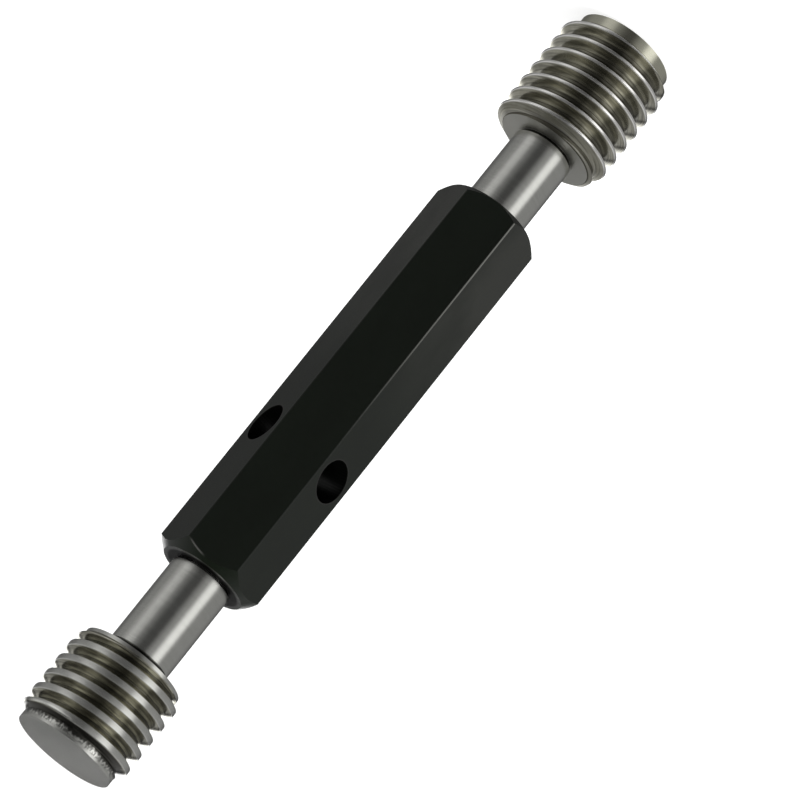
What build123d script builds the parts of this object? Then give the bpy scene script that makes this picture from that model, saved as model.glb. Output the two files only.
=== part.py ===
"""Double-ended thread plug gauge: a hexagonal handle with a threaded gauging member wedged in each end.

The gauge stands on its GO end face. The origin is the middle of that face, and +Z runs up the axis to the
NO-GO end. One flat of the handle looks along -Y, between the two flats with the knock-out holes. Lengths
are millimetres.

Each member is modelled standing on its own free end face. The NO-GO member is then turned over and set on
top.
"""
import os
from math import ceil, radians, sqrt, tan

from build123d import *

# Screw thread, the same pitch and form on both members, right-hand
THREAD_PITCH = 2.0
THREAD_ANGLE = 60.0
# Direction about +Z in which the first crests are measured
CREST_AZIMUTH = -7.0
# How far the cutter of a groove or hole reaches past the surface that it cuts
CUTTER_OVERRUN = 0.1

# GO member: full thread form
GO_MAJOR_DIAMETER = 14.0
GO_PITCH_DIAMETER = 12.7
GO_ROOT_DIAMETER = 11.5
GO_PLUG_LENGTH = 15.25
GO_PILOT_DIAMETER = 11.7
GO_PILOT_LENGTH = 1.25
GO_SHOULDER_DIAMETER = 11.4
GO_SHOULDER_CHAMFER_ANGLE = 60.0
GO_FIRST_CREST = 2.43
GO_SHANK_LENGTH = 10.3
GO_UNDERCUT_WIDTH = 0.5

# NO-GO member: shorter plug, larger pitch diameter, crests cut back to wide flats
NO_GO_MAJOR_DIAMETER = 13.5
NO_GO_PITCH_DIAMETER = 12.91
NO_GO_ROOT_DIAMETER = 11.3
NO_GO_PLUG_LENGTH = 11.9
NO_GO_PILOT_DIAMETER = 11.85
NO_GO_PILOT_LENGTH = 1.0
NO_GO_SHOULDER_DIAMETER = 12.2
NO_GO_COLLAR_LENGTH = 0.4
NO_GO_SHOULDER_CHAMFER_ANGLE = 45.0
NO_GO_FIRST_CREST = 1.36
NO_GO_SHANK_LENGTH = 12.1
NO_GO_UNDERCUT_WIDTH = 1.0

# Lead chamfer from the pilot to the crests, measured from the axis
LEAD_CHAMFER_ANGLE = 60.0

# Shank of both members, with an undercut against the shoulder
SHANK_DIAMETER = 7.4
UNDERCUT_DEPTH = 0.3
SHANK_END_CHAMFER = 0.1

# Tapered tail of both members, and how far the shank stops short of the handle when it is wedged
TAIL_MOUTH_DIAMETER = 6.6
TAPER_PER_LENGTH = 1 / 48
TAIL_LENGTH = 13.0
TAIL_END_CHAMFER = 0.3
SEAT_GAP = 0.2

# Handle, a hexagonal bar with its corners turned off at both ends, a little deeper at the NO-GO end
HANDLE_ACROSS_FLATS = 11.2
HANDLE_LENGTH = 52.6
HANDLE_GO_FACE_DIAMETER = 11.0
HANDLE_NO_GO_FACE_DIAMETER = 10.3
HANDLE_END_CHAMFER_ANGLE = 45.0
HANDLE_EDGE_RADIUS = 0.15

# Tapered sockets in the handle, with the bore that joins them
TAPER_FIT_CLEARANCE = 0.005
SOCKET_MOUTH_CHAMFER = 0.25
SOCKET_END_CLEARANCE = 0.4
BORE_DIAMETER = 5.4

# Knock-out holes, drilled from two flats to the bore, each at its own distance from the handle's NO-GO end
HOLE_DIAMETER = 5.0
RIGHT_HOLE_FROM_END = 17.35
LEFT_HOLE_FROM_END = 16.4
RIGHT_HOLE_AZIMUTH = -30.0
LEFT_HOLE_AZIMUTH = -150.0

# Heights of the handle's two end faces and of the NO-GO end face
HANDLE_BOTTOM = GO_PLUG_LENGTH + GO_SHANK_LENGTH + SEAT_GAP
HANDLE_TOP = HANDLE_BOTTOM + HANDLE_LENGTH
GAUGE_LENGTH = HANDLE_TOP + SEAT_GAP + NO_GO_SHANK_LENGTH + NO_GO_PLUG_LENGTH


def turned(points):
    """Solid of revolution about Z from (radius, height) points."""
    return revolve(Plane.XZ * make_face(Polyline(*points, close=True)), Axis.Z)


def groove_width(diameter, pitch_diameter):
    """Width of the thread groove at a diameter: half the pitch at the pitch diameter, wider outside it."""
    return THREAD_PITCH / 2 + (diameter - pitch_diameter) * tan(radians(THREAD_ANGLE / 2))


def thread_groove(major, pitch_diameter, root, first_crest, azimuth, height):
    """The helical groove as a solid, from a pitch below z = 0 to a pitch above the height."""
    outer = major + 2 * CUTTER_OVERRUN
    turns_below = ceil((first_crest + 1.5 * THREAD_PITCH) / THREAD_PITCH)
    start = first_crest + THREAD_PITCH / 2 - turns_below * THREAD_PITCH
    turns = ceil((height + THREAD_PITCH - start) / THREAD_PITCH)
    half_root = groove_width(root, pitch_diameter) / 2
    half_outer = groove_width(outer, pitch_diameter) / 2
    profile = Plane.XZ * make_face(
        Polyline(
            (root / 2, start - half_root),
            (outer / 2, start - half_outer),
            (outer / 2, start + half_outer),
            (root / 2, start + half_root),
            close=True,
        )
    )
    one_turn = Helix(THREAD_PITCH, THREAD_PITCH, pitch_diameter / 2)
    path = Wire([(Pos(0, 0, start + turn * THREAD_PITCH) * one_turn).edge() for turn in range(turns)])
    return sweep(profile, path=path, is_frenet=True).rotate(Axis.Z, azimuth)


def threaded_plug(
    major, pitch_diameter, root, first_crest, azimuth, pilot, bottom, shoulder, top, chamfer_angle
):
    """Blank from bottom to top with a chamfer at each end, and the thread groove cut through all of it."""
    lead = (major - pilot) / 2 / tan(radians(LEAD_CHAMFER_ANGLE))
    back = (major - shoulder) / 2 / tan(radians(chamfer_angle))
    blank = turned(
        [
            (0, bottom),
            (pilot / 2, bottom),
            (major / 2, bottom + lead),
            (major / 2, top - back),
            (shoulder / 2, top),
            (0, top),
        ]
    )
    return blank - thread_groove(major, pitch_diameter, root, first_crest, azimuth, top)


def tail_radius(depth):
    """Radius of the tapered tail at a depth in the handle; a negative depth is outside it."""
    return (TAIL_MOUTH_DIAMETER - depth * TAPER_PER_LENGTH) / 2


def shank_and_tail(shoulder_height, shank_length, undercut_width):
    """Undercut, shank and tapered tail, from the shoulder face upwards."""
    undercut_radius = SHANK_DIAMETER / 2 - UNDERCUT_DEPTH
    shank_end = shoulder_height + shank_length
    tail_end = shank_end + SEAT_GAP + TAIL_LENGTH
    return turned(
        [
            (0, shoulder_height),
            (undercut_radius, shoulder_height),
            (undercut_radius, shoulder_height + undercut_width),
            (SHANK_DIAMETER / 2, shoulder_height + undercut_width),
            (SHANK_DIAMETER / 2, shank_end - SHANK_END_CHAMFER),
            (SHANK_DIAMETER / 2 - SHANK_END_CHAMFER, shank_end),
            (tail_radius(-SEAT_GAP), shank_end),
            (tail_radius(TAIL_LENGTH - TAIL_END_CHAMFER), tail_end - TAIL_END_CHAMFER),
            (tail_radius(TAIL_LENGTH) - TAIL_END_CHAMFER, tail_end),
            (0, tail_end),
        ]
    )


def disc(diameter, bottom, length):
    """Plain cylinder on the axis, standing on a height."""
    return Pos(0, 0, bottom + length / 2) * Cylinder(diameter / 2, length)


def make_go_member():
    """GO member as it stands in the gauge, on its pilot, with the tail pointing up."""
    plug = threaded_plug(
        GO_MAJOR_DIAMETER,
        GO_PITCH_DIAMETER,
        GO_ROOT_DIAMETER,
        GO_FIRST_CREST,
        CREST_AZIMUTH,
        GO_PILOT_DIAMETER,
        GO_PILOT_LENGTH,
        GO_SHOULDER_DIAMETER,
        GO_PLUG_LENGTH,
        GO_SHOULDER_CHAMFER_ANGLE,
    )
    pilot = disc(GO_PILOT_DIAMETER, 0, GO_PILOT_LENGTH)
    return plug + pilot + shank_and_tail(GO_PLUG_LENGTH, GO_SHANK_LENGTH, GO_UNDERCUT_WIDTH)


def make_no_go_member():
    """NO-GO member, modelled on its own face and then turned over onto the top of the gauge."""
    thread_top = NO_GO_PLUG_LENGTH - NO_GO_COLLAR_LENGTH
    plug = threaded_plug(
        NO_GO_MAJOR_DIAMETER,
        NO_GO_PITCH_DIAMETER,
        NO_GO_ROOT_DIAMETER,
        NO_GO_FIRST_CREST,
        -CREST_AZIMUTH,
        NO_GO_PILOT_DIAMETER,
        NO_GO_PILOT_LENGTH,
        NO_GO_SHOULDER_DIAMETER,
        thread_top,
        NO_GO_SHOULDER_CHAMFER_ANGLE,
    )
    pilot = disc(NO_GO_PILOT_DIAMETER, 0, NO_GO_PILOT_LENGTH)
    collar = disc(NO_GO_SHOULDER_DIAMETER, thread_top, NO_GO_COLLAR_LENGTH)
    stem = shank_and_tail(NO_GO_PLUG_LENGTH, NO_GO_SHANK_LENGTH, NO_GO_UNDERCUT_WIDTH)
    member = plug + pilot + collar + stem
    return Pos(0, 0, GAUGE_LENGTH) * member.rotate(Axis.X, 180)


def end_chamfer_height(face_diameter):
    """How far the chamfer of a handle end runs down the corners from its round face."""
    corner_radius = HANDLE_ACROSS_FLATS / sqrt(3)
    return (corner_radius - face_diameter / 2) / tan(radians(HANDLE_END_CHAMFER_ANGLE))


def hexagonal_bar():
    """Hexagonal bar with softened edges and both ends chamfered to a round face."""
    corner_radius = HANDLE_ACROSS_FLATS / sqrt(3)
    bar = extrude(Pos(0, 0, HANDLE_BOTTOM) * RegularPolygon(corner_radius, 6), HANDLE_LENGTH)
    bar = fillet(bar.edges().filter_by(Axis.Z), HANDLE_EDGE_RADIUS)
    envelope = turned(
        [
            (0, HANDLE_BOTTOM),
            (HANDLE_GO_FACE_DIAMETER / 2, HANDLE_BOTTOM),
            (corner_radius, HANDLE_BOTTOM + end_chamfer_height(HANDLE_GO_FACE_DIAMETER)),
            (corner_radius, HANDLE_TOP - end_chamfer_height(HANDLE_NO_GO_FACE_DIAMETER)),
            (HANDLE_NO_GO_FACE_DIAMETER / 2, HANDLE_TOP),
            (0, HANDLE_TOP),
        ]
    )
    return bar & envelope


def taper_socket():
    """Space for one tail, from the handle's face at z = 0 inwards along +Z, with a softened mouth."""
    depth = TAIL_LENGTH + SOCKET_END_CLEARANCE
    mouth = tail_radius(0) + TAPER_FIT_CLEARANCE
    return turned(
        [
            (0, 0),
            (mouth + SOCKET_MOUTH_CHAMFER, 0),
            (tail_radius(SOCKET_MOUTH_CHAMFER) + TAPER_FIT_CLEARANCE, SOCKET_MOUTH_CHAMFER),
            (tail_radius(depth) + TAPER_FIT_CLEARANCE, depth),
            (0, depth),
        ]
    )


def knock_out_hole(azimuth, from_end):
    """Round hole from one flat to the axis, where it has broken into the bore."""
    length = HANDLE_ACROSS_FLATS / 2 + CUTTER_OVERRUN
    drill = Rot(0, 90, 0) * Pos(0, 0, length / 2) * Cylinder(HOLE_DIAMETER / 2, length)
    return Pos(0, 0, HANDLE_TOP - from_end) * drill.rotate(Axis.Z, azimuth)


def make_handle():
    """The bar with a socket in each end, the bore between them and the two knock-out holes."""
    bar = hexagonal_bar()
    bar -= Pos(0, 0, HANDLE_BOTTOM) * taper_socket()
    bar -= Pos(0, 0, HANDLE_TOP) * taper_socket().rotate(Axis.X, 180)
    bar -= disc(BORE_DIAMETER, HANDLE_BOTTOM, HANDLE_LENGTH)
    bar -= knock_out_hole(RIGHT_HOLE_AZIMUTH, RIGHT_HOLE_FROM_END)
    bar -= knock_out_hole(LEFT_HOLE_AZIMUTH, LEFT_HOLE_FROM_END)
    return bar


def main():
    os.makedirs("parts", exist_ok=True)
    export_step(make_handle(), "parts/handle.step")
    export_step(make_go_member(), "parts/go_member.step")
    export_step(make_no_go_member(), "parts/no_go_member.step")


main()
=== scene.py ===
"""Studio scene of the double-ended thread plug gauge, standing on its GO end.

Lengths are millimetres, turned into metres by MM where the mesh is made; the floor's, the lamps' and the camera's
clipping are metres. Angles are degrees. Where a member has a height, it is from that member's own end face.
The two gauging members are turned in mesh code with their helical threads; the handle is the frame's own.
"""
from math import ceil, cos, pi, radians, sin, tan

import bmesh
import bpy
from mathutils import Matrix, Vector


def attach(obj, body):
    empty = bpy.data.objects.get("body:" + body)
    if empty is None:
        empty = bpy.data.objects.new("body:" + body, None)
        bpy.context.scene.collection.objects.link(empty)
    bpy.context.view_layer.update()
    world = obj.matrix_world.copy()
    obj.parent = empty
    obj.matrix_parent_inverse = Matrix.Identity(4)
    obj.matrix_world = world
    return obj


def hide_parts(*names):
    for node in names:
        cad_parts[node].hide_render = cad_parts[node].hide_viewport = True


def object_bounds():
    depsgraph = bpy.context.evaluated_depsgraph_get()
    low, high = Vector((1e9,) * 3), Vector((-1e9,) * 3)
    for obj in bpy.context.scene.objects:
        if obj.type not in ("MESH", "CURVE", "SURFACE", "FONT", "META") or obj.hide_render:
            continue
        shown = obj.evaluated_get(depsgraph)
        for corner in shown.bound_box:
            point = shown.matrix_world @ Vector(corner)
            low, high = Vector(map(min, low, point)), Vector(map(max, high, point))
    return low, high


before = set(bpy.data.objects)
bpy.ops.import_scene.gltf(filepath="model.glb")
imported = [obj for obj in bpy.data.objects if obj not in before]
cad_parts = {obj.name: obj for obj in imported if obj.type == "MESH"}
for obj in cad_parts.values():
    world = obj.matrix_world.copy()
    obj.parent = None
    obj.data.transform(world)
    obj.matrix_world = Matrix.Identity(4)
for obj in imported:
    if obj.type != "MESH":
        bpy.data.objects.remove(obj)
CAD_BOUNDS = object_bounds()
MM = 0.001

# Camera, as fitted to the photograph: where it stands about the gauge, how it is rolled, and what it aims at
IMAGE_SIZE = 800
FOCAL_LENGTH_PIXELS = 5000
SENSOR_WIDTH = 36
CLIP_DISTANCES = (0.01, 20)
CAMERA_AZIMUTH = -96.93
CAMERA_ELEVATION = 19.02
CAMERA_ROLL = 51.52
AIM_HEIGHT = 53.084
AIM_PIXEL = (342.5, 402.6)
AIM_DEPTH = 541.4

# Floor, as a disc, and lamps: angle from the camera's side, elevation, distance, size and power
FLOOR_RADIUS = 3.0
FLOOR_SIDES = 96
FLOOR_GLOW = 0.62
FLOOR_GREY = 0.5
LAMPS = (
    ("key", 55, 50, 0.6, 0.5, 4.0),
    ("fill", -80, 40, 0.7, 0.5, 2.0),
)

# Screw thread of both members; their crests are given at one azimuth
THREAD_PITCH = 2.0
THREAD_ANGLE = 60.0
CREST_AZIMUTH = -7.0
LEAD_CHAMFER_ANGLE = 60.0

# Shank, undercut and tapered tail of both members
SHANK_DIAMETER = 7.4
UNDERCUT_DEPTH = 0.3
SHANK_END_CHAMFER = 0.1
TAIL_MOUTH_DIAMETER = 6.6
TAPER_PER_LENGTH = 1 / 48
TAIL_LENGTH = 13.0
TAIL_END_CHAMFER = 0.3
SEAT_GAP = 0.2

# What differs between the members:
# major, pitch_diameter, root: the thread's diameters
# length, first_crest: heights of the shoulder and of the first crest
# pilot, pilot_length: diameter and length of the plain end
# shoulder, collar, back_angle: diameter at the shoulder, length of the plain collar there, and steepness of the
#     chamfer between thread and collar
# shank_length, undercut_width, and the length of painted shade: lengths from the shoulder on, the last one of the
# undercut's part painted near black as shade
# dull_from: height from which the flanks are dull
# colours of the pilot, of the low flanks and of the crests; the low flanks' colour is a painted glint, a band
# brighter than the rest of the groove just above the root, and the GO crests' near white is a painted highlight
# crest_corner: radius of the crests' corners
# turned_over: whether the member's own end face is the gauge's top
GO = {
    "major": 14.0,
    "pitch_diameter": 12.7,
    "root": 11.5,
    "length": 15.25,
    "pilot": 11.7,
    "pilot_length": 1.25,
    "shoulder": 11.4,
    "collar": 0.0,
    "back_angle": 60.0,
    "first_crest": 2.43,
    "shank_length": 10.3,
    "undercut_width": 0.5,
    "undercut_shade": 0.3,
    "dull_from": 12.9,
    "pilot_colour": (0.62, 0.61, 0.50, 1),
    "glint_band_colour": (0.49, 0.48, 0.42, 1),
    "crest_corner": 0.12,
    # Near white: a painted highlight along the crests
    "crest_colour_and_highlight": (0.93, 0.92, 0.89, 1),
    "turned_over": False,
}
NO_GO = {
    "major": 13.5,
    "pitch_diameter": 12.91,
    "root": 11.3,
    "length": 11.9,
    "pilot": 11.85,
    "pilot_length": 1.0,
    "shoulder": 12.2,
    "collar": 0.4,
    "back_angle": 45.0,
    "first_crest": 1.36,
    "shank_length": 12.1,
    "undercut_width": 1.0,
    "undercut_shade": 1.0,
    "dull_from": None,
    "pilot_colour": (0.60, 0.60, 0.565, 1),
    "glint_band_colour": (0.50, 0.49, 0.42, 1),
    "crest_corner": 0.04,
    "crest_colour_and_highlight": (0.56, 0.56, 0.53, 1),
    "turned_over": True,
}

# Mesh fineness of the members, and the softening of the thread's corners, at most a share of each side
COLUMNS = 240
FLANK_ROWS = 7
ARC_ROWS = 4
ROOT_CORNER_RADIUS = 0.1
ARC_SHARE = 0.45
# How far the crests stay inside the part's own box
CREST_INSET = 0.0015
# How fast the groove deepens above the pilot, as depth against height
GROOVE_RUN_IN = 0.6


def direction(azimuth, elevation=0.0):
    """Unit vector at an azimuth from +X about +Z, and an elevation above the floor."""
    a, e = radians(azimuth), radians(elevation)
    return Vector((cos(a) * cos(e), sin(a) * cos(e), sin(e)))


def add_to_scene(name, data):
    thing = bpy.data.objects.new(name, data)
    bpy.context.scene.collection.objects.link(thing)
    return thing


def make_camera():
    """Camera at the photograph's view: the aim point lies at AIM_PIXEL, AIM_DEPTH in front of it."""
    towards = direction(CAMERA_AZIMUTH)
    across = direction(CAMERA_AZIMUTH + 90)
    e, roll = radians(CAMERA_ELEVATION), radians(CAMERA_ROLL)
    forward = -towards * cos(e) - Vector((0, 0, sin(e)))
    down_axis = Vector((0, 0, -cos(e))) + towards * sin(e)
    right = down_axis * cos(roll) - across * sin(roll)
    down = -down_axis * sin(roll) - across * cos(roll)
    off_x = (AIM_PIXEL[0] - IMAGE_SIZE / 2) / FOCAL_LENGTH_PIXELS
    off_y = (AIM_PIXEL[1] - IMAGE_SIZE / 2) / FOCAL_LENGTH_PIXELS
    place = Vector((0, 0, AIM_HEIGHT)) - (forward + right * off_x + down * off_y) * AIM_DEPTH
    data = bpy.data.cameras.new("camera")
    data.sensor_width = SENSOR_WIDTH
    data.lens = FOCAL_LENGTH_PIXELS * SENSOR_WIDTH / IMAGE_SIZE
    data.clip_start, data.clip_end = CLIP_DISTANCES
    camera = add_to_scene("camera", data)
    turn = Matrix((right, -down, -forward)).transposed().to_4x4()
    camera.matrix_world = Matrix.Translation(place * MM) @ turn
    bpy.context.scene.camera = camera


def corner_arc(before, corner, after, radius):
    """Points of an arc that rounds a corner of a profile, tangent to both of its sides."""
    corner, before, after = Vector(corner), Vector(before), Vector(after)
    to_before, to_after = (before - corner).normalized(), (after - corner).normalized()
    half = to_before.angle(to_after) / 2
    reach = min(radius / tan(half), (before - corner).length * ARC_SHARE, (after - corner).length * ARC_SHARE)
    radius = reach * tan(half)
    middle = corner + (to_before + to_after).normalized() * radius / sin(half)
    start, end = corner + to_before * reach - middle, corner + to_after * reach - middle
    sweep = start.angle_signed(end)
    return [middle + Matrix.Rotation(-sweep * i / ARC_ROWS, 2) @ start for i in range(ARC_ROWS + 1)]


def groove_profile(member):
    """(height, radius) points of one pitch of thread, from the middle of one crest to the middle of the next."""
    half_angle = tan(radians(THREAD_ANGLE / 2))
    crest, root = member["major"] / 2 - CREST_INSET, member["root"] / 2
    half_root = (THREAD_PITCH / 2 + (root - member["pitch_diameter"] / 2) * 2 * half_angle) / 2
    half_crest = THREAD_PITCH / 2 - half_root - (crest - root) * half_angle
    low, high = THREAD_PITCH / 2 - half_root, THREAD_PITCH / 2 + half_root
    corners = [(0, crest), (half_crest, crest), (low, root), (high, root)]
    corners += [(THREAD_PITCH - half_crest, crest), (THREAD_PITCH, crest)]
    softness = [0, member["crest_corner"], ROOT_CORNER_RADIUS, ROOT_CORNER_RADIUS, member["crest_corner"], 0]
    points = [corners[0]]
    for i in range(1, 5):
        arc = corner_arc(corners[i - 1], corners[i], corners[i + 1], softness[i])
        last, steps = Vector(points[-1]), FLANK_ROWS if i in (2, 4) else 1
        for step in range(1, steps):
            points.append(tuple(last.lerp(arc[0], step / steps)))
        points.extend(tuple(p) for p in arc)
    points.append(corners[5])
    return points


def on_circle(radius, column, height):
    """Place in metres of a mesh column's point."""
    a = 2 * pi * column / COLUMNS
    return (radius * cos(a) * MM, radius * sin(a) * MM, height * MM)


def ring(mesh, radius, height):
    """Closed ring of vertices; the radius is a number or a list with one for each column."""
    radii = radius if isinstance(radius, list) else [radius] * COLUMNS
    return [mesh.verts.new(on_circle(radii[i], i, height)) for i in range(COLUMNS)]


def bridge(mesh, lower, upper, smooth=True):
    for i in range(COLUMNS):
        j = (i + 1) % COLUMNS
        face = mesh.faces.new((lower[i], lower[j], upper[j], upper[i]))
        face.smooth = smooth


def threaded_surface(mesh, member, azimuth):
    """Helical thread between pilot and collar, cut off square at both ends; returns its two end rings' radii."""
    profile = groove_profile(member)
    bottom, top = member["pilot_length"], member["length"] - member["collar"]
    crest = member["major"] / 2 - CREST_INSET
    lead = tan(radians(LEAD_CHAMFER_ANGLE))
    back = tan(radians(member["back_angle"]))

    def blank(height):
        """Radius of the bar with its two chamfers, before the thread is cut."""
        by_lead = member["pilot"] / 2 + (height - bottom) * lead
        by_back = member["shoulder"] / 2 + (top - height) * back
        return min(crest, by_lead, by_back)

    def kept(height, radius):
        """Radius that the groove leaves of the bar."""
        run_in = member["pilot"] / 2 - (height - bottom) * GROOVE_RUN_IN
        return min(max(radius, run_in), blank(height))

    # As many turns as pass both ends in every column
    turns = ceil((top - bottom) / THREAD_PITCH) + 2
    first = member["first_crest"] - THREAD_PITCH * (ceil((member["first_crest"] - bottom) / THREAD_PITCH) + 1)

    def thread_radius(height, column):
        phase = (height - first - THREAD_PITCH * (column / COLUMNS - azimuth / 360)) % THREAD_PITCH
        for (h0, r0), (h1, r1) in zip(profile, profile[1:]):
            if phase <= h1:
                return r0 + (r1 - r0) * (phase - h0) / (h1 - h0)
        return profile[-1][1]

    verts = []
    for i in range(COLUMNS + 1):
        shift = THREAD_PITCH * (i / COLUMNS - azimuth / 360)
        column = []
        for turn in range(turns):
            for height_in, radius in profile[:-1]:
                height = first + shift + turn * THREAD_PITCH + height_in
                if height <= bottom or height >= top:
                    height = min(max(height, bottom), top)
                    radius = thread_radius(height, i)
                column.append(mesh.verts.new(on_circle(kept(height, radius), i, height)))
        verts.append(column)
    for i in range(COLUMNS):
        for k in range(len(verts[0]) - 1):
            corners = (verts[i][k], verts[i + 1][k], verts[i + 1][k + 1], verts[i][k + 1])
            face = mesh.faces.new(corners)
            face.smooth = True
    return [[kept(height, thread_radius(height, i)) for i in range(COLUMNS)] for height in (bottom, top)]


def member_mesh(name, member, azimuth):
    """Member on its own end face at height 0, tail up. Surfaces that meet at a sharp edge have a ring each there."""
    mesh = bmesh.new()
    bottom_radii, top_radii = threaded_surface(mesh, member, azimuth)
    pilot, pilot_length = member["pilot"] / 2, member["pilot_length"]
    face_edge = ring(mesh, pilot, 0)
    centre = mesh.verts.new((0, 0, 0))
    for i in range(COLUMNS):
        mesh.faces.new((centre, face_edge[(i + 1) % COLUMNS], face_edge[i]))
    bridge(mesh, ring(mesh, pilot, 0), ring(mesh, pilot, pilot_length))
    bridge(mesh, ring(mesh, pilot, pilot_length), ring(mesh, bottom_radii, pilot_length), False)

    shoulder = member["length"]
    thread_top = shoulder - member["collar"]
    last = ring(mesh, top_radii, thread_top)
    if member["collar"]:
        collar = member["shoulder"] / 2
        bridge(mesh, last, ring(mesh, collar, thread_top), False)
        bridge(mesh, ring(mesh, collar, thread_top), ring(mesh, collar, shoulder))
        last = ring(mesh, collar, shoulder)

    def tail(depth):
        """Radius of the tail at a depth in its socket."""
        return (TAIL_MOUTH_DIAMETER - depth * TAPER_PER_LENGTH) / 2

    shank = SHANK_DIAMETER / 2
    undercut, undercut_end = shank - UNDERCUT_DEPTH, shoulder + member["undercut_width"]
    shank_end = shoulder + member["shank_length"]
    tail_end = shank_end + SEAT_GAP + TAIL_LENGTH
    for radius, height in (
        (undercut, shoulder),
        (undercut, undercut_end),
        (shank, undercut_end),
        (shank, shank_end - SHANK_END_CHAMFER),
        (shank - SHANK_END_CHAMFER, shank_end),
        (tail(-SEAT_GAP), shank_end),
        (tail(TAIL_LENGTH - TAIL_END_CHAMFER), tail_end - TAIL_END_CHAMFER),
        (tail(TAIL_LENGTH) - TAIL_END_CHAMFER, tail_end),
    ):
        bridge(mesh, last, ring(mesh, radius, height))
        last = ring(mesh, radius, height)
    tip = mesh.verts.new((0, 0, tail_end * MM))
    for i in range(COLUMNS):
        mesh.faces.new((last[i], last[(i + 1) % COLUMNS], tip))
    data = bpy.data.meshes.new(name)
    mesh.to_mesh(data)
    mesh.free()
    return data


def place_member(data, turned_over):
    """Object of a member's mesh; the NO-GO member is turned over and set on top of the gauge."""
    if turned_over:
        top = CAD_BOUNDS[1].z
        data.transform(Matrix.Translation((0, 0, top)) @ Matrix.Rotation(pi, 4, "X"))
    return add_to_scene(data.name, data)


class Nodes:
    """Short way to build a node tree."""

    def __init__(self, tree):
        self.tree = tree
        tree.nodes.clear()

    def add(self, kind, **settings):
        node = self.tree.nodes.new(kind)
        for key, value in settings.items():
            setattr(node, key, value)
        return node

    def link(self, source, target):
        self.tree.links.new(source, target)

    def feed(self, socket, value):
        """Link a socket to another node's, or set it to a plain value."""
        if isinstance(value, bpy.types.NodeSocket):
            self.link(value, socket)
        else:
            socket.default_value = value

    def feed_all(self, node, values):
        for socket, value in zip(node.inputs, values):
            self.feed(socket, value)

    def split(self, vector):
        node = self.add("ShaderNodeSeparateXYZ")
        self.link(vector, node.inputs[0])
        return node.outputs

    def math(self, operation, *values):
        node = self.add("ShaderNodeMath", operation=operation)
        self.feed_all(node, values)
        return node.outputs[0]

    def product(self, first, *others):
        for other in others:
            first = self.math("MULTIPLY", first, other)
        return first

    def total(self, first, *others):
        for other in others:
            first = self.math("ADD", first, other)
        return first

    def rest(self, value):
        """What a value leaves of 1."""
        return self.math("SUBTRACT", 1.0, value)

    def vector(self, operation, *values):
        node = self.add("ShaderNodeVectorMath", operation=operation)
        self.feed_all(node, values)
        return node.outputs["Value"] if operation in ("DOT_PRODUCT", "LENGTH") else node.outputs[0]

    def span(self, value, low, high, to_low=0.0, to_high=1.0, smooth=True):
        """Value that goes from to_low to to_high while another one goes from low to high."""
        node = self.add("ShaderNodeMapRange", interpolation_type="SMOOTHSTEP" if smooth else "LINEAR")
        self.feed_all(node, (value, low, high, to_low, to_high))
        return node.outputs[0]

    def between(self, value, low, high, soft):
        """1 where a value lies between two limits, with soft edges."""
        above = self.span(value, low - soft, low + soft)
        return self.product(above, self.span(value, high - soft, high + soft, 1.0, 0.0))

    def mix(self, factor, a, b, blend="MIX"):
        node = self.add("ShaderNodeMix", data_type="RGBA", blend_type=blend)
        for name, value in (("Factor", factor), ("A", a), ("B", b)):
            self.feed(node.inputs[name], value)
        return node.outputs["Result"]

    def scaled(self, colour, factor):
        """Colour times a number."""
        return self.mix(1.0, colour, self.vector("MULTIPLY", (1, 1, 1), factor), "MULTIPLY")

    def noise(self, place, stretch, detail):
        """Noise over a place in millimetres, squeezed or stretched along each axis."""
        node = self.add("ShaderNodeTexNoise")
        node.inputs["Scale"].default_value = 1.0
        node.inputs["Detail"].default_value = detail
        self.link(self.vector("MULTIPLY", place, stretch), node.inputs["Vector"])
        return node.outputs[0]


def grey(value):
    return (value, value, value, 1)


# Brightness of the studio all round the gauge, as its steel mirrors it. Each lobe has its angle from the camera's
# side as the GO end, the NO-GO shank and the NO-GO thread mirror it, its half width and its strength.
SIDES_BASE = 0.075
SIDES = (
    ("right glow", 38, 38, 38, 40, 0.30),
    ("right box", 53, 46, 50, 21, 0.70),
    ("right wall", 95, 95, 95, 75, 0.26),
    ("left box", -63, -81, -63, 22, 0.34),
    ("left wall", -78, -85, -80, 65, 0.24),
    ("left back", -150, -150, -150, 50, 0.07),
)
# Elevations that the GO shank, the NO-GO shank and the NO-GO thread mirror, and those between which the lobes shift
# from the NO-GO shank's angles to its thread's
GO_SHANK_ELEVATION = -22.2
NO_GO_SHANK_ELEVATION = -15.9
NO_GO_THREAD_ELEVATION = -14.8
THREAD_SHIFT = (NO_GO_SHANK_ELEVATION + 1.0, NO_GO_THREAD_ELEVATION + 0.4)
# The upper half of the handle mirrors a darker band; its elevations from the top down
HANDLE_BAND = (-16.6, -17.4, -18.8, -20.5)
HANDLE_BAND_BRIGHTNESS = 0.48
# White strip behind the gauge, low down, which the far sides of the crests mirror at a glancing angle; it reaches
# higher to both sides than straight behind
BEHIND_ANGLE = 184
BEHIND_HALF_WIDTH = 28
BEHIND_STRENGTH = 3.0
BEHIND_BOTTOM = (-11, -7)
BEHIND_TOP = (4, 7)
BEHIND_SPREAD = 2.0
# The sides above the horizon: how much brighter they are, where they fade out, and between which angles from the
# camera's side they end; the pairs are the elevations between which each change happens
HORIZON = (-2, 2)
SIDES_RISE = (0, 8)
SIDES_ABOVE = 1.6
SIDES_FADE = (20, 37)
SIDES_END = (150, 110)
# Dim wall behind the gauge, paler higher up, where the faces square to the axis mirror it
BACK_WALL = 0.03
BACK_WALL_START = (0, 5)
BACK_WALL_UPPER = 0.36
BACK_WALL_UPPER_START = (15, 21)
BACK_WALL_HALF_WIDTH = 120
BACK_WALL_FADE = (33, 89)
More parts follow.
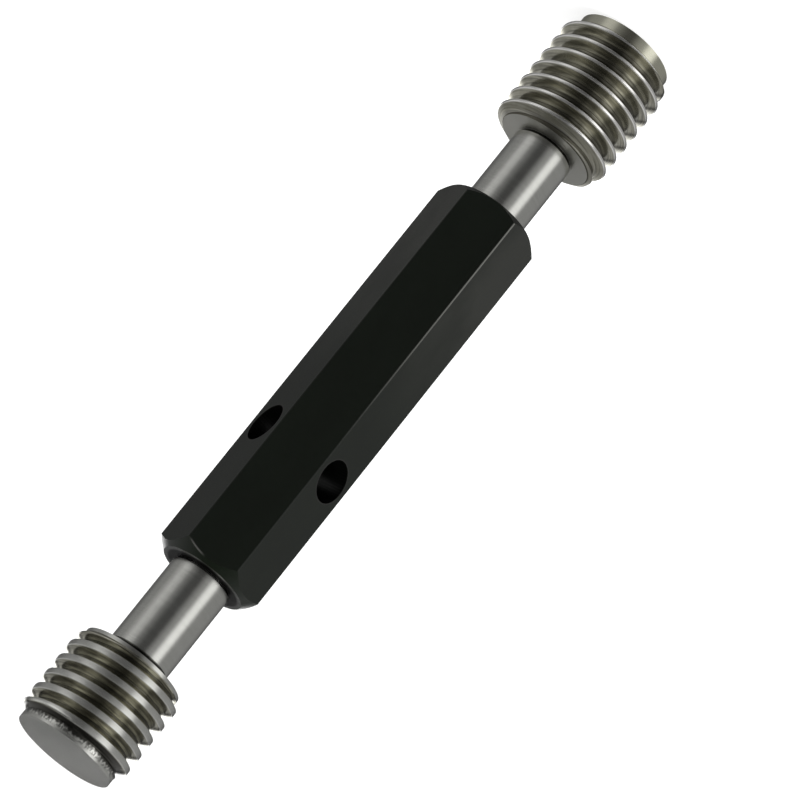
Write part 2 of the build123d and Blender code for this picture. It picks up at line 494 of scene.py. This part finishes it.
# Pale walls high up at both sides, mirrored by the flank next to the GO shoulder
UPPER_WALL = 0.2
UPPER_WALL_ANGLE = 105
UPPER_WALL_HALF_WIDTH = 48
UPPER_WALL_START = (32, 44)
UPPER_WALL_END = (72, 85)
# Ceiling, and its brighter middle straight above, mirrored by the flanks that face up and to the front
OVERHEAD = 0.06
OVERHEAD_START = (0, 5)
ZENITH = 0.2
ZENITH_START = (76, 84)
# Grey that matt surfaces are lit with from all round
DIFFUSE_LEVEL = 0.7


def sine(angle):
    return sin(radians(angle))


class Surroundings:
    """Brightness of the studio by direction; turn is the angle from the camera's side, rise the sine of elevation."""

    def __init__(self, nodes, place):
        self.nodes = nodes
        split = nodes.split(place)
        azimuth = nodes.math("ARCTAN2", split["Y"], split["X"])
        self.turn = nodes.math("SUBTRACT", radians(CAMERA_AZIMUTH), azimuth)
        self.rise = split["Z"]

    def by_rise(self, low, high, at_low, at_high, smooth=True):
        """Value that goes from one to the other between two elevations."""
        return self.nodes.span(self.rise, sine(low), sine(high), at_low, at_high, smooth)

    def lobe(self, angle, half_width, strength):
        """Brightness that falls off to nothing at half_width on both sides of an angle in radians."""
        facing = self.nodes.math("COSINE", self.nodes.math("SUBTRACT", self.turn, angle))
        return self.nodes.span(facing, cos(radians(half_width)), 1.0, 0.0, strength)

    def sides(self):
        """Lobes of soft boxes and walls below the horizon, with the band that the handle mirrors."""
        nodes = self.nodes
        total = SIDES_BASE
        for _, at_go, at_shank, at_thread, half_width, strength in SIDES:
            ends = (radians(at_go), radians(at_shank))
            angle = self.by_rise(GO_SHANK_ELEVATION, NO_GO_SHANK_ELEVATION, *ends, smooth=False)
            shift = self.by_rise(*THREAD_SHIFT, 0.0, radians(at_thread - at_shank), smooth=False)
            total = nodes.total(self.lobe(nodes.total(angle, shift), half_width, strength), total)
        top, full_top, full_bottom, bottom = HANDLE_BAND
        above = self.by_rise(full_top, top, HANDLE_BAND_BRIGHTNESS, 1.0)
        below = self.by_rise(bottom, full_bottom, 1.0, HANDLE_BAND_BRIGHTNESS)
        return nodes.product(total, nodes.math("MAXIMUM", above, below))

    def front(self):
        """The sides, going on above the horizon except behind the gauge."""
        nodes = self.nodes
        ahead = nodes.span(nodes.math("COSINE", self.turn), *(cos(radians(a)) for a in SIDES_END))
        ahead = nodes.math("MAXIMUM", ahead, self.by_rise(*HORIZON, 1.0, 0.0))
        above = nodes.product(ahead, self.by_rise(*SIDES_RISE, 1.0, SIDES_ABOVE))
        return nodes.product(self.sides(), self.by_rise(*SIDES_FADE, 1.0, 0.0), above)

    def behind(self):
        """The white strip."""
        nodes = self.nodes
        facing = nodes.product(nodes.math("COSINE", self.turn), -1.0)
        raised = nodes.product(nodes.rest(facing), BEHIND_SPREAD)
        below_top = nodes.span(nodes.math("SUBTRACT", self.rise, raised), *map(sine, BEHIND_TOP), 1.0, 0.0)
        strip = self.lobe(radians(BEHIND_ANGLE), BEHIND_HALF_WIDTH, BEHIND_STRENGTH)
        return nodes.product(below_top, self.by_rise(*BEHIND_BOTTOM, 0.0, 1.0), strip)

    def walls(self):
        """The wall behind and the upper walls at the sides."""
        nodes = self.nodes
        level = nodes.total(
            self.by_rise(*BACK_WALL_START, 0.0, BACK_WALL),
            self.by_rise(*BACK_WALL_UPPER_START, 0.0, BACK_WALL_UPPER),
        )
        fade = self.by_rise(*BACK_WALL_FADE, 1.0, 0.0)
        total = nodes.product(self.lobe(pi, BACK_WALL_HALF_WIDTH, 1.0), level, fade)
        upper = nodes.product(self.by_rise(*UPPER_WALL_START, 0.0, 1.0), self.by_rise(*UPPER_WALL_END, 1.0, 0.0))
        for side in (-1, 1):
            pale = self.lobe(side * radians(UPPER_WALL_ANGLE), UPPER_WALL_HALF_WIDTH, UPPER_WALL)
            total = nodes.total(total, nodes.product(pale, upper))
        return total

    def brightness(self):
        overhead = self.nodes.total(
            self.by_rise(*OVERHEAD_START, 0.0, OVERHEAD), self.by_rise(*ZENITH_START, 0.0, ZENITH)
        )
        return self.nodes.total(self.front(), self.behind(), self.walls(), overhead)


def seen_directly(nodes, path):
    """1 for rays that reach the camera straight or through something clear."""
    return nodes.math("MAXIMUM", path.outputs["Is Camera Ray"], path.outputs["Is Transmission Ray"])


def make_world():
    """White to the camera, the drawn studio to the steel, and plain grey to matt surfaces."""
    world = bpy.data.worlds.new("studio")
    bpy.context.scene.world = world
    world.use_nodes = True
    nodes = Nodes(world.node_tree)
    place = nodes.add("ShaderNodeTexCoord").outputs["Generated"]
    path = nodes.add("ShaderNodeLightPath")
    drawn = Surroundings(nodes, place).brightness()
    studio = nodes.mix(path.outputs["Is Glossy Ray"], grey(DIFFUSE_LEVEL), drawn)
    colour = nodes.mix(seen_directly(nodes, path), studio, grey(1.0))
    background = nodes.add("ShaderNodeBackground")
    nodes.link(colour, background.inputs["Color"])
    output = nodes.add("ShaderNodeOutputWorld")
    nodes.link(background.outputs[0], output.inputs["Surface"])


def new_material(name):
    material = bpy.data.materials.new(name)
    material.use_nodes = True
    return material, Nodes(material.node_tree)


def finish_material(nodes, shader):
    output = nodes.add("ShaderNodeOutputMaterial")
    nodes.link(shader.outputs[0], output.inputs["Surface"])


def make_floor():
    """Plain pale floor with the gauge's shadow; the steel mirrors the studio's own lower half in its place."""
    mesh = bmesh.new()
    bmesh.ops.create_circle(mesh, cap_ends=True, segments=FLOOR_SIDES, radius=FLOOR_RADIUS)
    data = bpy.data.meshes.new("floor")
    mesh.to_mesh(data)
    mesh.free()
    floor = add_to_scene("floor", data)
    material, nodes = new_material("floor")
    glow = nodes.add("ShaderNodeEmission")
    seen = seen_directly(nodes, nodes.add("ShaderNodeLightPath"))
    nodes.link(nodes.product(seen, FLOOR_GLOW), glow.inputs["Strength"])
    matt = nodes.add("ShaderNodeBsdfDiffuse")
    matt.inputs["Color"].default_value = grey(FLOOR_GREY)
    both = nodes.add("ShaderNodeAddShader")
    nodes.link(glow.outputs[0], both.inputs[0])
    nodes.link(matt.outputs[0], both.inputs[1])
    finish_material(nodes, both)
    data.materials.append(material)
    floor.visible_glossy = False


def make_lamp(name, angle, elevation, distance, size, power):
    """Round soft lamp at an angle to the camera's side, clockwise seen from above, aimed at the gauge."""
    data = bpy.data.lights.new(name, "AREA")
    data.shape = "DISK"
    data.size = size
    data.energy = power
    lamp = add_to_scene(name, data)
    away = direction(CAMERA_AZIMUTH - angle, elevation)
    lamp.location = Vector((0, 0, AIM_HEIGHT * MM)) + away * distance
    lamp.rotation_mode = "QUATERNION"
    lamp.rotation_quaternion = (-away).to_track_quat("-Z", "Y")
    lamp.visible_camera = False
    lamp.visible_glossy = False


def place_in_mm(nodes):
    return nodes.vector("DIVIDE", nodes.add("ShaderNodeTexCoord").outputs["Object"], (MM, MM, MM))


def flat(nodes, place):
    """Place without its height."""
    return nodes.vector("MULTIPLY", place, (1, 1, 0))


def add_bump(nodes, shader, height, strength):
    bump = nodes.add("ShaderNodeBump")
    bump.inputs["Strength"].default_value = strength
    bump.inputs["Distance"].default_value = BUMP_DISTANCE * MM
    nodes.link(height, bump.inputs["Height"])
    nodes.link(bump.outputs[0], shader.inputs["Normal"])


# Both materials: what their noises mostly keep to, its middle, and the reach of their bump
NOISE_RANGE = (0.3, 0.7)
NOISE_MIDDLE = 0.5
BUMP_DISTANCE = 0.02

# Steel: its noises, as stretch along each axis and detail, the shares of both in its grain, and its bump
TURNED_LINES = ((0.12, 0.12, 9.0), 3.0)
BLOTCHES = ((0.9, 0.9, 0.9), 4.0)
GRAIN_SHARES = (0.7, 0.3)
STEEL_BUMP = 0.05
# Colours of the ground steel, of the flanks and roots in the thread, and of the painted shade in the undercut
GROUND_COLOURS = ((0.60, 0.60, 0.565, 1), (0.65, 0.65, 0.615, 1))
FLANK_COLOURS = ((0.34, 0.33, 0.27, 1), (0.40, 0.39, 0.33, 1))
ROOT_COLOUR = (0.15, 0.145, 0.115, 1)
UNDERCUT_SHADE_COLOUR = (0.02, 0.02, 0.017, 1)
# Where they change: depths under the crests at which the groove starts and the crests end, heights above the root at
# which the root's colour and the low flank's painted glint end, and depths under the shank's surface at which the
# undercut's painted shade starts
GROOVE_DEPTHS = (0.18, 0.04)
CREST_DEPTHS = (0.14, 0.08)
ROOT_END = (0.06, 0.12)
GLINT_BAND_END = (0.34, 0.46)
RECESS_DEPTHS = (0.1, 0.02)
# Heights over which the side of a member begins, the softness of the thread's ends, of the pilot's end and of the
# undercut's ends
SIDE_START = (0.01, 0.03)
THREAD_END_SOFTNESS = 0.005
PILOT_END_SOFTNESS = 0.02
UNDERCUT_SOFTNESS = 0.01
# Brightness along the turned lines: two values of the noise, and the brightness at each
STREAKS = (0.35, 0.65, 0.72, 1.28)
# Roughness along the grain, in the same way; how much of it is left in the groove; and what is added to it on the
# flanks next to the GO shoulder, and over how much height that comes in
POLISH = (0.25, 0.75, 0.18, 0.24)
GROOVE_POLISH = 0.7
DULL_ROUGHNESS = 0.42
DULL_START = 0.8
# Stretch of reflections round the axis, and its turn
ANISOTROPY = 0.5
ANISOTROPY_TURN = 0.25
# How metallic the satin NO-GO crests are, and over what height they end at the collar
SATIN_METALLIC = 0.94
SATIN_END = 0.02

# The NO-GO end's edge is marked all round by small teeth, and dark from there to the first crest: how many teeth,
# height above the face at which the dark starts, how far the teeth and their unevenness reach, and where it ends
EDGE_TEETH = 70
DARK_EDGE_START = 0.76
EDGE_TOOTH_HEIGHT = 0.1
EDGE_UNEVENNESS = 0.9
EDGE_TOOTH_SHIFT = 9
DARK_EDGE_END = 1.9
DARK_EDGE_SOFTNESS = 0.16
DARK_EDGE_DEPTHS = (0.25, 0.1)
DARK_EDGE_COLOUR = (0.07, 0.068, 0.06, 1)
# It is mottled near the dark: heights and their softness, the noise, and the brightness at two of its values
MOTTLED_HEIGHTS = (0.3, 1.0)
MOTTLED_SOFTNESS = 0.15
MOTTLE = ((3.5, 3.5, 2.5), 2.0)
MOTTLE_BRIGHTNESS = (0.4, 0.62, 0.5, 1.15)


def undercut_shade_mask(nodes, own_height, radius, member):
    """Painted shade: the part of the undercut that is painted near black, below the shank's surface."""
    start, end = member["length"], member["length"] + member["undercut_shade"]
    high = nodes.between(own_height, start + UNDERCUT_SOFTNESS, end - UNDERCUT_SOFTNESS, UNDERCUT_SOFTNESS)
    recess = nodes.span(radius, *(SHANK_DIAMETER / 2 - depth for depth in RECESS_DEPTHS), 1.0, 0.0)
    return nodes.product(high, recess)


def dark_edge_mask(nodes, split, own_height, radius, blotches):
    """The dark part of the NO-GO end between its toothed edge and the first crest."""
    turn = nodes.math("ARCTAN2", split["Y"], split["X"])
    uneven = nodes.product(nodes.math("SUBTRACT", blotches, NOISE_MIDDLE), EDGE_UNEVENNESS)
    phase = nodes.total(nodes.product(turn, EDGE_TEETH), nodes.product(uneven, EDGE_TOOTH_SHIFT))
    start = nodes.total(nodes.product(nodes.math("COSINE", phase), EDGE_TOOTH_HEIGHT), uneven)
    level = nodes.total(own_height, start)
    dark = nodes.between(level, DARK_EDGE_START, DARK_EDGE_END, DARK_EDGE_SOFTNESS)
    below_crest = nodes.span(radius, *(NO_GO["major"] / 2 - depth for depth in DARK_EDGE_DEPTHS), 1.0, 0.0)
    return nodes.product(dark, below_crest, nodes.span(own_height, *SIDE_START))


def steel_material(name, member):
    """Ground steel: fine turned lines round the axis, and duller, warmer flanks in the thread grooves."""
    crest_radius, root_radius = member["major"] / 2, member["root"] / 2
    material, nodes = new_material(name)
    shader = nodes.add("ShaderNodeBsdfPrincipled")
    place = place_in_mm(nodes)
    split = nodes.split(place)
    own_height = split["Z"]
    if member["turned_over"]:
        own_height = nodes.math("SUBTRACT", CAD_BOUNDS[1].z / MM, own_height)
    radius = nodes.vector("LENGTH", flat(nodes, place))
    lines = nodes.noise(place, *TURNED_LINES)
    blotches = nodes.noise(place, *BLOTCHES)
    grain = nodes.total(*(nodes.product(part, share) for part, share in zip((lines, blotches), GRAIN_SHARES)))

    # Parts of the surface, each 1 on that part
    thread_top = member["length"] - member["collar"]
    threaded = nodes.between(own_height, member["pilot_length"], thread_top, THREAD_END_SOFTNESS)
    groove = nodes.span(radius, *(crest_radius - depth for depth in GROOVE_DEPTHS), 1.0, 0.0)
    groove = nodes.product(groove, threaded)
    crest = nodes.product(nodes.span(radius, *(crest_radius - depth for depth in CREST_DEPTHS)), threaded)
    pilot_end = (member["pilot_length"] - PILOT_END_SOFTNESS, member["pilot_length"] + PILOT_END_SOFTNESS)
    on_pilot = nodes.span(own_height, *pilot_end, 1.0, 0.0)
    above_root = nodes.math("SUBTRACT", radius, root_radius)
    root = nodes.span(above_root, *ROOT_END, 1.0, 0.0)
    glint_band = nodes.span(above_root, *GLINT_BAND_END, 1.0, 0.0)

    colour = nodes.mix(nodes.span(grain, *NOISE_RANGE), *GROUND_COLOURS)
    colour = nodes.mix(on_pilot, colour, member["pilot_colour"])
    groove_colour_and_glint = nodes.mix(nodes.span(blotches, *NOISE_RANGE), *FLANK_COLOURS)
    # Painted glint: a band low on the flanks, just above the root, brighter than the rest of the groove
    groove_colour_and_glint = nodes.mix(glint_band, groove_colour_and_glint, member["glint_band_colour"])
    groove_colour_and_glint = nodes.mix(root, groove_colour_and_glint, ROOT_COLOUR)
    groove_colour_and_glint = nodes.scaled(groove_colour_and_glint, nodes.span(lines, *STREAKS))
    colour = nodes.mix(groove, colour, groove_colour_and_glint)
    # Painted shade in the undercut, where the shank meets the shoulder
    colour = nodes.mix(undercut_shade_mask(nodes, own_height, radius, member), colour, UNDERCUT_SHADE_COLOUR)
    # Crests in a colour of their own; on the GO member its near white is a painted highlight
    colour = nodes.mix(crest, colour, member["crest_colour_and_highlight"])
    if member["turned_over"]:
        mottle = nodes.span(nodes.noise(place, *MOTTLE), *MOTTLE_BRIGHTNESS)
        mottled = nodes.between(own_height, *MOTTLED_HEIGHTS, MOTTLED_SOFTNESS)
        colour = nodes.mix(mottled, colour, nodes.scaled(colour, mottle))
        edge = dark_edge_mask(nodes, split, own_height, radius, blotches)
        colour = nodes.mix(edge, colour, DARK_EDGE_COLOUR)
    nodes.link(colour, shader.inputs["Base Color"])

    if member["turned_over"]:
        below_collar = nodes.span(own_height, thread_top, thread_top + SATIN_END, 1.0, 0.0)
        satin = nodes.product(nodes.rest(groove), below_collar, nodes.span(own_height, *SIDE_START))
        nodes.link(nodes.span(satin, 0.0, 1.0, 1.0, SATIN_METALLIC), shader.inputs["Metallic"])
    else:
        shader.inputs["Metallic"].default_value = 1.0
    roughness = nodes.product(nodes.span(grain, *POLISH), nodes.span(groove, 0.0, 1.0, 1.0, GROOVE_POLISH))
    if member["dull_from"]:
        dull = nodes.span(own_height, member["dull_from"], member["dull_from"] + DULL_START)
        dull = nodes.product(dull, threaded, nodes.rest(crest))
        roughness = nodes.total(roughness, nodes.product(dull, DULL_ROUGHNESS))
    nodes.link(roughness, shader.inputs["Roughness"])
    # None on the end face, where it would draw an hourglass round the axis
    nodes.link(nodes.span(own_height, *SIDE_START, 0.0, ANISOTROPY), shader.inputs["Anisotropic"])
    shader.inputs["Anisotropic Rotation"].default_value = ANISOTROPY_TURN
    tangent = nodes.add("ShaderNodeTangent", direction_type="RADIAL", axis="Z")
    nodes.link(tangent.outputs[0], shader.inputs["Tangent"])
    add_bump(nodes, shader, lines, STEEL_BUMP)
    finish_material(nodes, shader)
    return material


# Knock-out holes, with a painted highlight on their rims and painted shade on their walls: radius, azimuth and height
# of each axis, width and softness of the rim, distances out from the gauge's axis over which it begins, and depth of
# the wall painted dark, with the softness of its ends
HOLE_RADIUS = 2.5
HOLE_AXES = ((-30.0, 61.0), (-150.0, 61.95))
HOLE_EDGE_SOFTNESS = 0.02
RIM_WIDTH = 0.12
RIM_SOFTNESS = 0.03
RIM_START = (2.8, 4.0)
HOLE_WALL = (0.5, 5.5)
HOLE_WALL_SOFTNESS = 0.05

# The handle: where its NO-GO face stands and how wide it is, its flats, and the depths under one within which a point
# counts as on it
HANDLE_TOP = 78.35
HANDLE_FACE_RADIUS = 5.15
HALF_ACROSS_FLATS = 5.6
FLAT_DEPTHS = (0.1, 0.02)
# Depths under the NO-GO face within which a point counts as on it, and radii over which it comes out of the painted
# shade round the shank
FACE_DEPTHS = (0.35, 0.3)
SHANK_SHADE = (4.4, 5.15)
# Corner between the front flat and the left-hand one, with a painted highlight along the lower part, and how it fades
HIGHLIGHT_CORNER = (-3.233, -5.6)
HIGHLIGHT_CORNER_WIDTH = 0.05
HIGHLIGHT_CORNER_FADE = 0.1
HIGHLIGHT_CORNER_HEIGHTS = (62, 30)
# Heights over which the side flats turn paler lower down, a painted reflection, from none to all, and how much the
# clouds change it
PAINTED_SHEEN_HEIGHTS = (57, 30)
PAINTED_SHEEN_CLOUDS = (0.6, 1.2)
# Painted highlight on the lip of the front flat: how far from the NO-GO face's edge, between which X, and the
# softness of both
HIGHLIGHT_LIP_REACH = (-0.12, 0.04)
HIGHLIGHT_LIP_SOFTNESS = 0.05
HIGHLIGHT_LIP_SPAN = (0.9, 2.7)
HIGHLIGHT_LIP_END_SOFTNESS = 0.5

# Its noises, as stretch along each axis and detail; its roughness by grain, and that of the places painted dark as
# shade
CLOUDS = ((0.25, 0.25, 0.12), 3.0)
HANDLE_GRAIN = ((6.0, 6.0, 6.0), 2.0)
HANDLE_BUMP = 0.08
HANDLE_ROUGHNESS = (0.33, 0.39)
HANDLE_SHADE_ROUGHNESS = 0.6
# Its colours; the places painted dark as shade, inside the holes and round the shank, mirror nothing either
BLACK_COLOURS = ((0.0012, 0.0028, 0.0007, 1), (0.0018, 0.0038, 0.0013, 1))
HANDLE_SHADE_COLOUR = grey(0.001)
PAINTED_SHEEN_COLOUR = (0.016, 0.017, 0.014, 1)
RIM_HIGHLIGHT_COLOUR = (0.008, 0.008, 0.007, 1)
CORNER_HIGHLIGHT_COLOUR = (0.12, 0.12, 0.11, 1)
LIP_HIGHLIGHT_COLOUR = (0.05, 0.05, 0.046, 1)


def black_oxide_material():
    """Satin black, a little uneven, with a fine grain; painted shade in the holes and round the shank, painted
    highlights on the holes' rims, along a corner and on a lip, and side flats painted paler lower down as a
    reflection.
    """
    material, nodes = new_material("black_oxide")
    shader = nodes.add("ShaderNodeBsdfPrincipled")
    place = place_in_mm(nodes)
    split = nodes.split(place)
    height_up = split["Z"]
    radius = nodes.vector("LENGTH", flat(nodes, place))
    clouds = nodes.noise(place, *CLOUDS)
    grain = nodes.noise(place, *HANDLE_GRAIN)
    colour = nodes.mix(nodes.span(clouds, *NOISE_RANGE), *BLACK_COLOURS)

    on_face = nodes.span(height_up, *(HANDLE_TOP - depth for depth in FACE_DEPTHS))
    # Painted shade round the shank on the NO-GO face; the holes' walls are added to it below
    dark = nodes.product(nodes.span(radius, *SHANK_SHADE, 1.0, 0.0), on_face)
    # Painted reflection: the flats with the holes paler lower down, in clouds
    paler = nodes.product(nodes.span(height_up, *PAINTED_SHEEN_HEIGHTS), nodes.span(clouds, *NOISE_RANGE, *PAINTED_SHEEN_CLOUDS))
    for azimuth, height in HOLE_AXES:
        along = tuple(direction(azimuth))
        outward = nodes.vector("DOT_PRODUCT", place, along)
        across = nodes.vector("CROSS_PRODUCT", nodes.vector("SUBTRACT", place, (0, 0, height)), along)
        off_axis = nodes.vector("LENGTH", across)
        on_flat = nodes.span(outward, *(HALF_ACROSS_FLATS - depth for depth in FLAT_DEPTHS))
        colour = nodes.mix(nodes.product(on_flat, paler), colour, PAINTED_SHEEN_COLOUR)
        # Painted highlight on the hole's rim
        rim = nodes.between(off_axis, HOLE_RADIUS, HOLE_RADIUS + RIM_WIDTH, RIM_SOFTNESS)
        colour = nodes.mix(nodes.product(rim, nodes.span(outward, *RIM_START)), colour, RIM_HIGHLIGHT_COLOUR)
        # Painted shade on the hole's wall
        hole_edge = (HOLE_RADIUS - HOLE_EDGE_SOFTNESS, HOLE_RADIUS + HOLE_EDGE_SOFTNESS)
        wall = nodes.between(outward, *HOLE_WALL, HOLE_WALL_SOFTNESS)
        dark = nodes.math("MAXIMUM", dark, nodes.product(nodes.span(off_axis, *hole_edge, 1.0, 0.0), wall))
    colour = nodes.mix(dark, colour, HANDLE_SHADE_COLOUR)
    nodes.link(dark, shader.inputs["Metallic"])

    # Painted highlight along the corner, stronger lower down
    off_corner = nodes.vector("LENGTH", nodes.vector("SUBTRACT", flat(nodes, place), (*HIGHLIGHT_CORNER, 0)))
    corner = nodes.span(off_corner, HIGHLIGHT_CORNER_WIDTH, HIGHLIGHT_CORNER_WIDTH + HIGHLIGHT_CORNER_FADE, 1.0, 0.0)
    corner = nodes.product(corner, nodes.span(height_up, *HIGHLIGHT_CORNER_HEIGHTS))
    colour = nodes.mix(corner, colour, CORNER_HIGHLIGHT_COLOUR)
    # Painted highlight on a short stretch of the front flat's lip at the NO-GO face
    # On the end's 45 degree chamfer, height plus radius is what it is at the face's edge
    lip_reach = (HANDLE_TOP + HANDLE_FACE_RADIUS + reach for reach in HIGHLIGHT_LIP_REACH)
    lip = nodes.between(nodes.total(height_up, radius), *lip_reach, HIGHLIGHT_LIP_SOFTNESS)
    on_front = nodes.span(split["Y"], *(depth - HALF_ACROSS_FLATS for depth in FLAT_DEPTHS))
    lip = nodes.product(lip, on_front, nodes.between(split["X"], *HIGHLIGHT_LIP_SPAN, HIGHLIGHT_LIP_END_SOFTNESS))
    colour = nodes.mix(lip, colour, LIP_HIGHLIGHT_COLOUR)
    nodes.link(colour, shader.inputs["Base Color"])

    roughness = nodes.span(grain, *NOISE_RANGE, *HANDLE_ROUGHNESS)
    roughness = nodes.math("MAXIMUM", roughness, nodes.product(dark, HANDLE_SHADE_ROUGHNESS))
    nodes.link(roughness, shader.inputs["Roughness"])
    add_bump(nodes, shader, grain, HANDLE_BUMP)
    finish_material(nodes, shader)
    return material


def make_members():
    """Both members in place of the frame's own; turning one over also turns its crests' azimuth round."""
    for name, node, member, azimuth in (
        ("go_gauging_member", "go_member", GO, CREST_AZIMUTH),
        ("no_go_gauging_member", "no_go_member", NO_GO, -CREST_AZIMUTH),
    ):
        piece = place_member(member_mesh(name, member, azimuth), member["turned_over"])
        piece.data.materials.append(steel_material(name, member))
        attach(piece, "root")
        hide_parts(node)


def dress_handle(material):
    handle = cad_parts["handle"]
    for slot in handle.material_slots:
        slot.material = material


make_camera()
make_world()
make_floor()
for lamp in LAMPS:
    make_lamp(*lamp)
make_members()
dress_handle(black_oxide_material())
bpy.context.scene.view_settings.view_transform = "Standard"
